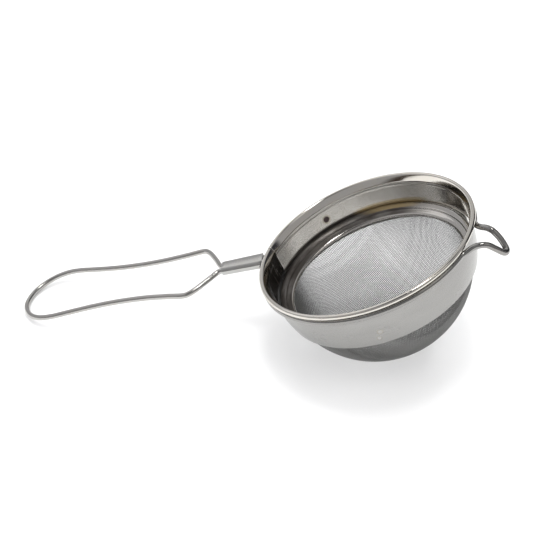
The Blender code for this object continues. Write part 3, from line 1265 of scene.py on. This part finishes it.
@dataclass
class Studio:
    """Pale table, surroundings, lamps and the camera."""

    table_side: float = 3.2
    panels: tuple = (
        Panel(150.0, 22.0, 48.0, 18.0, (0.56, 0.565, 0.58)),
        Panel(187.0, 46.0, 16.0, 14.0, (0.62, 0.62, 0.63)),
        Panel(100.0, 42.0, 22.0, 12.0, (0.62, 0.62, 0.63)),
        Panel(-20.0, 62.0, 14.0, 6.0, (0.90, 0.89, 0.87)),
        Panel(46.0, 18.0, 16.0, 10.0, (0.045, 0.045, 0.05)),
    )
    low_range: tuple = (0.04, 0.20)
    high_range: tuple = (0.72, 0.90)
    low_colour: tuple = (0.060, 0.046, 0.036)
    side_colour: tuple = (0.42, 0.42, 0.43)
    high_colour: tuple = (0.10, 0.10, 0.105)
    backdrop: tuple = (1.0, 1.0, 1.0)
    lamps: tuple = (
        Lamp("table_fill", 22.5, 2.0, (0.0, 0.2, 1.6)),
        Lamp("left_fill", 13.0, 1.5, (-1.9, 0.0, 0.8)),
        Lamp("right_fill", 13.0, 1.5, (1.9, 0.0, 0.8)),
        Lamp("front_fill", 13.0, 1.5, (0.0, -1.9, 0.8)),
        Lamp("back_fill", 13.0, 1.5, (0.0, 1.9, 0.8)),
        Lamp("broad_softbox", 0.8, 0.7, (-0.55, 0.45, 0.75), (0.0, 0.0, 0.02), True),
        Lamp("small_softbox", 1.3, 0.18, (0.06, 0.0, 0.95), (0.03, 0.0, 0.03), True),
    )
    camera_azimuth: float = math.radians(-71.9454)
    camera_elevation: float = math.radians(39.2228)
    camera_roll: float = math.radians(-6.8503)
    camera_distance: float = 331.81 * MM
    camera_aim: tuple = (8.093 * MM, 1.345 * MM, 25.894 * MM)
    focal_length: float = 65.037
    sensor_width: float = 36.0
    clip_range: tuple = (0.01, 20.0)

    def table(self) -> None:
        """A plain pale table top under the strainer."""
        Bench.clear_selection()
        bpy.ops.mesh.primitive_plane_add(size=self.table_side, location=(0, 0, 0))
        item = bpy.context.object
        item.name = "table_top"
        material, sketch, inputs = start_material("table_white", 0.0)
        cloud = sketch.noise(sketch.place(), 3.0, 2.0)
        sketch.feed(inputs["Base Color"], sketch.mix(cloud, opaque((0.86, 0.86, 0.86)),
                                                     opaque((0.90, 0.90, 0.90))))
        sketch.feed(inputs["Roughness"], 0.9)
        sketch.feed(inputs["Specular IOR Level"], 0.1)
        item.data.materials.append(material)

    def surroundings(self) -> None:
        """A dim studio with panels for the steel to mirror, in front of a white backdrop."""
        world = bpy.data.worlds.new("studio")
        bpy.context.scene.world = world
        world.use_nodes = True
        sketch = NodeSketch(world.node_tree)
        inputs = world.node_tree.nodes["Background"].inputs
        ray = sketch.add("ShaderNodeTexCoord").outputs["Generated"]
        up = sketch.axes(ray)[2]
        tone = sketch.mix(sketch.range(up, *self.low_range), opaque(self.low_colour),
                          opaque(self.side_colour))
        tone = sketch.mix(sketch.range(up, *self.high_range), tone, opaque(self.high_colour))
        for panel in self.panels:
            tone = sketch.mix(panel.mask(sketch, ray), tone, opaque(panel.colour))
        seen = sketch.add("ShaderNodeLightPath").outputs["Is Camera Ray"]
        sketch.feed(inputs["Color"], sketch.mix(seen, tone, opaque(self.backdrop)))
        sketch.feed(inputs["Strength"], 1.0)

    def camera(self) -> None:
        """The camera, aimed and rolled."""
        azimuth, elevation = self.camera_azimuth, self.camera_elevation
        back = Vector((math.cos(elevation) * math.cos(azimuth),
                       math.cos(elevation) * math.sin(azimuth), math.sin(elevation)))
        level = Vector((-math.sin(azimuth), math.cos(azimuth), 0.0))
        upright = back.cross(level)
        right = level * math.cos(self.camera_roll) + upright * math.sin(self.camera_roll)
        up = back.cross(right)
        bpy.ops.object.camera_add()
        item = bpy.context.object
        item.name = "camera"
        place = Vector(self.camera_aim) + back * self.camera_distance
        item.matrix_world = (Matrix.Translation(place)
                             @ Matrix((right, up, back)).transposed().to_4x4())
        item.data.lens = self.focal_length
        item.data.sensor_width = self.sensor_width
        item.data.clip_start, item.data.clip_end = self.clip_range
        bpy.context.scene.camera = item

    def view_transform(self) -> None:
        """Plain colours without a film look."""
        bpy.context.scene.view_settings.view_transform = "Standard"

    def build(self) -> None:
        """Set up everything that isn't the strainer."""
        self.table()
        self.surroundings()
        for lamp in self.lamps:
            lamp.add()
        self.camera()
        self.view_transform()


# ------------------------------------------------------------------------------ strainer
@dataclass
class TeaStrainer:
    """All pieces of the strainer with their finishes."""

    band: Band = field(default_factory=Band)
    ring: Ring = field(default_factory=Ring)
    cloth: Cloth = field(default_factory=Cloth)
    rim_wire: RimWire = field(default_factory=RimWire)
    handle_wire: HandleWire = field(default_factory=HandleWire)
    ferrule: Ferrule = field(default_factory=Ferrule)

    def finish_piece(self, item: bpy.types.Object, name: str, node: str,
                     material: bpy.types.Material, frame: BowlFrame) -> None:
        """Name, dress and lay down a piece, and say what it stands for.

        Args:
            item: the piece, in the bowl frame.
            name: its final name.
            node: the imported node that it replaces.
            material: its finish.
            frame: the bowl frame.
        """
        item.name = name
        item.data.name = name
        item.data.materials.clear()
        item.data.materials.append(material)
        frame.settle(item)
        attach(item, "root")
        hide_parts(node)
        log.info("%s: %d faces, stands for %s", name, len(item.data.polygons), node)

    def build(self, nodes: dict) -> None:
        """Make every piece.

        Args:
            nodes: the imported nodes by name.
        """
        frame = BowlFrame.measured(nodes["strainer_band"], self.band.lip_radius)
        satin = OuterSatin(self.band.wall_radius, self.band.foot_radius, self.band.wall_top,
                           self.band.depth, self.band.taper)
        # Dark painted shade in the crease above the clamping ring, on the band's inner wall and on the
        # ring.
        painted_light_zone = GrooveShade(low=-13.0 * MM, high=-8.5 * MM, wall=satin)
        ring_painted_shade = GrooveShade(low=-12.15 * MM, high=-9.0 * MM)
        # A gold painted reflection of something warm in the surroundings, on the far inner wall and the
        # ring.
        painted_gold_reflection = GrooveShade(low=-10.9 * MM, high=-7.9 * MM, facing_deg=88.0, side_from=30.5 * MM,
                           side_to=33.0 * MM, colour=(0.50, 0.38, 0.20), strength=0.75, haze=0.04,
                           wall=satin)
        # Dark painted reflection on the inner wall past the seam.
        tint = SeamShade(math.degrees(self.band.seam_turn), satin)
        band = SteelFinish("polished_band", (0.64, 0.615, 0.57), POLISHED_ROUGHNESS).material(
            frame, layers=(satin, painted_light_zone, painted_gold_reflection, tint) + self.band.marks)
        ring = SteelFinish("pressed_ring", (0.50, 0.48, 0.455), 0.09).material(
            frame, layers=(ring_painted_shade, painted_gold_reflection))
        # Same steel as the handle wire; its darker colour is painted shade, standing for the dark
        # surroundings that the ear mirrors.
        rim = SteelFinish("drawn_rim_wire", (0.30, 0.295, 0.285), 0.10).material(frame)
        handle = SteelFinish("drawn_handle_wire", (0.44, 0.43, 0.415), 0.11).material(
            frame, round_bowl=False)
        sleeve = SteelFinish("brushed_ferrule", (0.46, 0.455, 0.44), 0.17).material(
            frame, round_bowl=False)
        cloth = ClothFinish().material()
        self.finish_piece(self.band.build(), "polished_band", "strainer_band",
                          band, frame)
        self.finish_piece(self.ring.build(), "clamping_ring", "mesh_ring", ring, frame)
        for run, name in ((Run.WARP, "cloth_warp_wires"), (Run.WEFT, "cloth_weft_wires")):
            self.finish_piece(self.cloth.build(run, name), name, "mesh_bowl", cloth,
                              frame)
        self.finish_piece(self.rim_wire.build(self.ferrule), "rim_and_ear_wire", "rim_wire",
                          rim, frame)
        self.finish_piece(self.handle_wire.build(self.ferrule), "handle_loop_wire", "handle_wire",
                          handle, frame)
        self.finish_piece(self.ferrule.build(), "flattened_ferrule", "handle_ferrule",
                          sleeve, frame)


def main() -> None:
    """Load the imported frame, build the strainer around it, and set up the studio."""
    logging.basicConfig(level=logging.INFO, format="%(name)s: %(message)s")
    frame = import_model()
    TeaStrainer().build(frame["nodes"])
    Studio().build()


if __name__ == "__main__":
    main()
